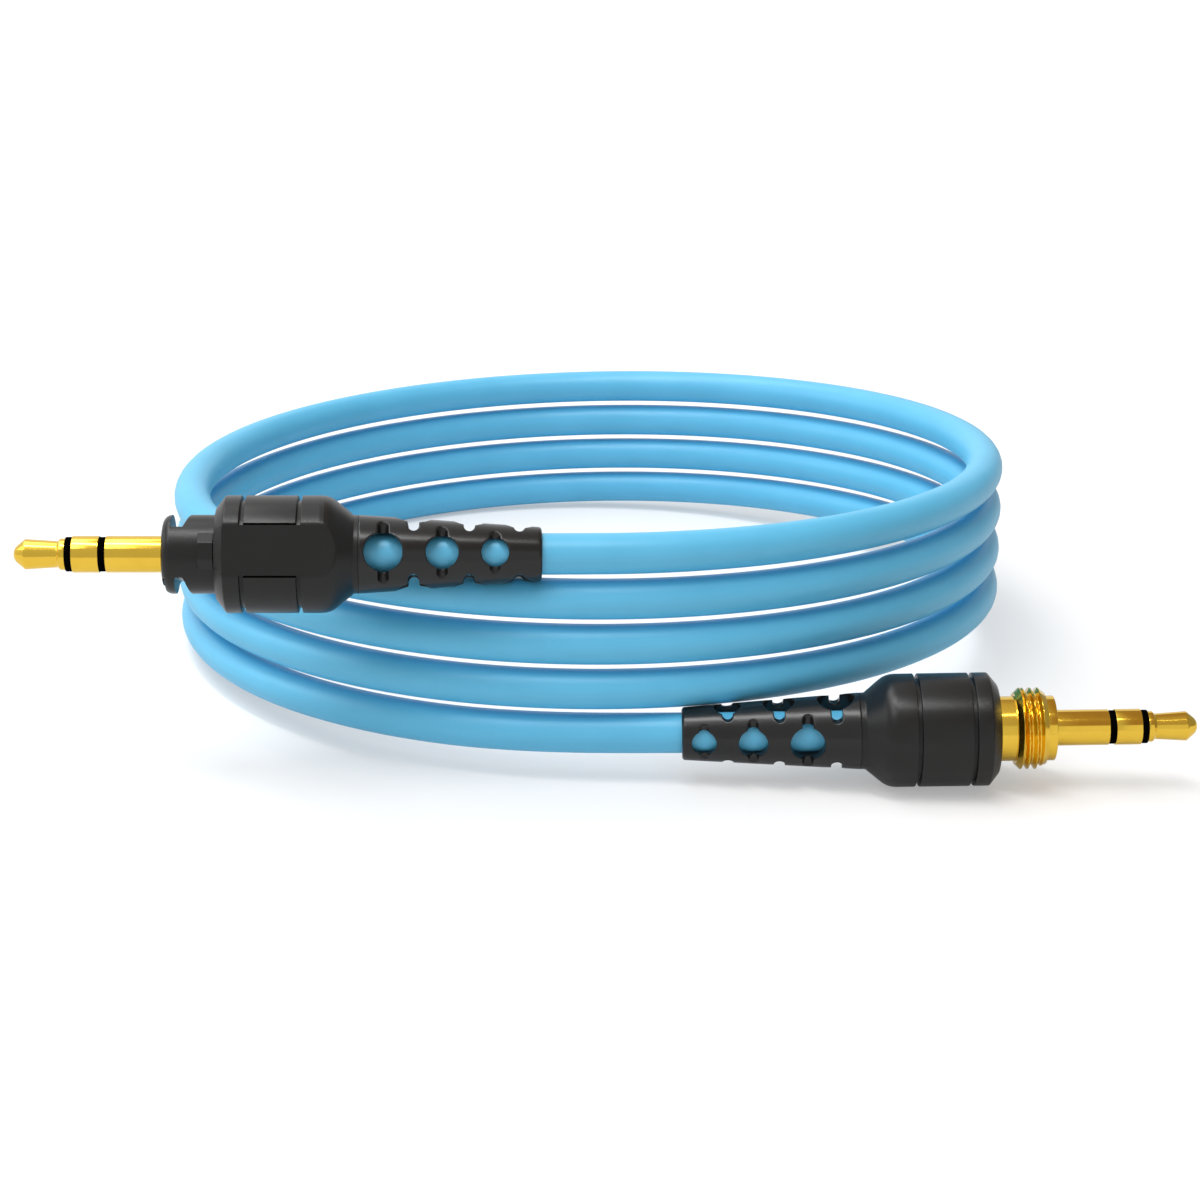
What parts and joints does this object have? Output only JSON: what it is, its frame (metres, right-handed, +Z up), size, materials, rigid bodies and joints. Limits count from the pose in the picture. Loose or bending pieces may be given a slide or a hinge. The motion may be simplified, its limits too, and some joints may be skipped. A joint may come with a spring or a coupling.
{
  "type": "headphone cable",
  "caption": "Detachable headphone cable, coiled: 3.5 mm stereo plug with bayonet collar at one end, 3.5 mm stereo plug with threaded collar at the other, vented boots.",
  "frame": {"origin": "the point of the bench, on which the coil and the threaded plug's housing rest, that lies under the centre of the coil's lowest turn", "axes": "+Z up from the bench; +X along the bench towards the threaded plug's tip; -Y is the front, where both plugs leave the coil. The coil's own axis leans about 3.0 degrees from +Z, because the coil lies with its front propped on the threaded plug's housing"},
  "size_m": [0.114, 0.0995, 0.0288],
  "materials": {
    "contact_gold": "polished gold plate",
    "collar_gold": "polished gold plate",
    "insulator": "satin black",
    "housing_plastic": "satin black",
    "collar_plastic": "satin black",
    "marker_plastic": "satin black",
    "boot_rubber": "satin black",
    "sleeve_plastic": "pale, plain",
    "steel": "bright",
    "green_enamel": "enamelled wire",
    "red_enamel": "enamelled wire",
    "copper": "bare copper",
    "jacket": "satin sky blue"
  },
  "bodies": {
    "root": {"headphone_tip_contact": "contact_gold", "headphone_tip_insulator": "insulator", "headphone_ring_contact": "contact_gold", "headphone_ring_insulator": "insulator", "headphone_sleeve_contact": "contact_gold", "headphone_tip_wire": "green_enamel", "headphone_ring_wire": "red_enamel", "headphone_ground_wire": "copper", "headphone_crimp_ferrule": "steel", "headphone_strain_relief_boot": "boot_rubber", "headphone_insulating_sleeve": "sleeve_plastic", "headphone_bayonet_collar": "collar_plastic", "headphone_housing": "housing_plastic", "headphone_marker_clip": "marker_plastic", "source_tip_contact": "contact_gold", "source_tip_insulator": "insulator", "source_ring_contact": "contact_gold", "source_ring_insulator": "insulator", "source_sleeve_contact": "contact_gold", "source_tip_wire": "green_enamel", "source_ring_wire": "red_enamel", "source_ground_wire": "copper", "source_crimp_ferrule": "steel", "source_strain_relief_boot": "boot_rubber", "source_insulating_sleeve": "sleeve_plastic", "source_threaded_collar": "collar_gold", "source_front_cap": "housing_plastic", "source_marker_ring": "marker_plastic", "source_rear_shell": "housing_plastic", "cord_coil": "jacket", "headphone_lead": "jacket", "source_lead": "jacket"}
  },
  "joints": []
}
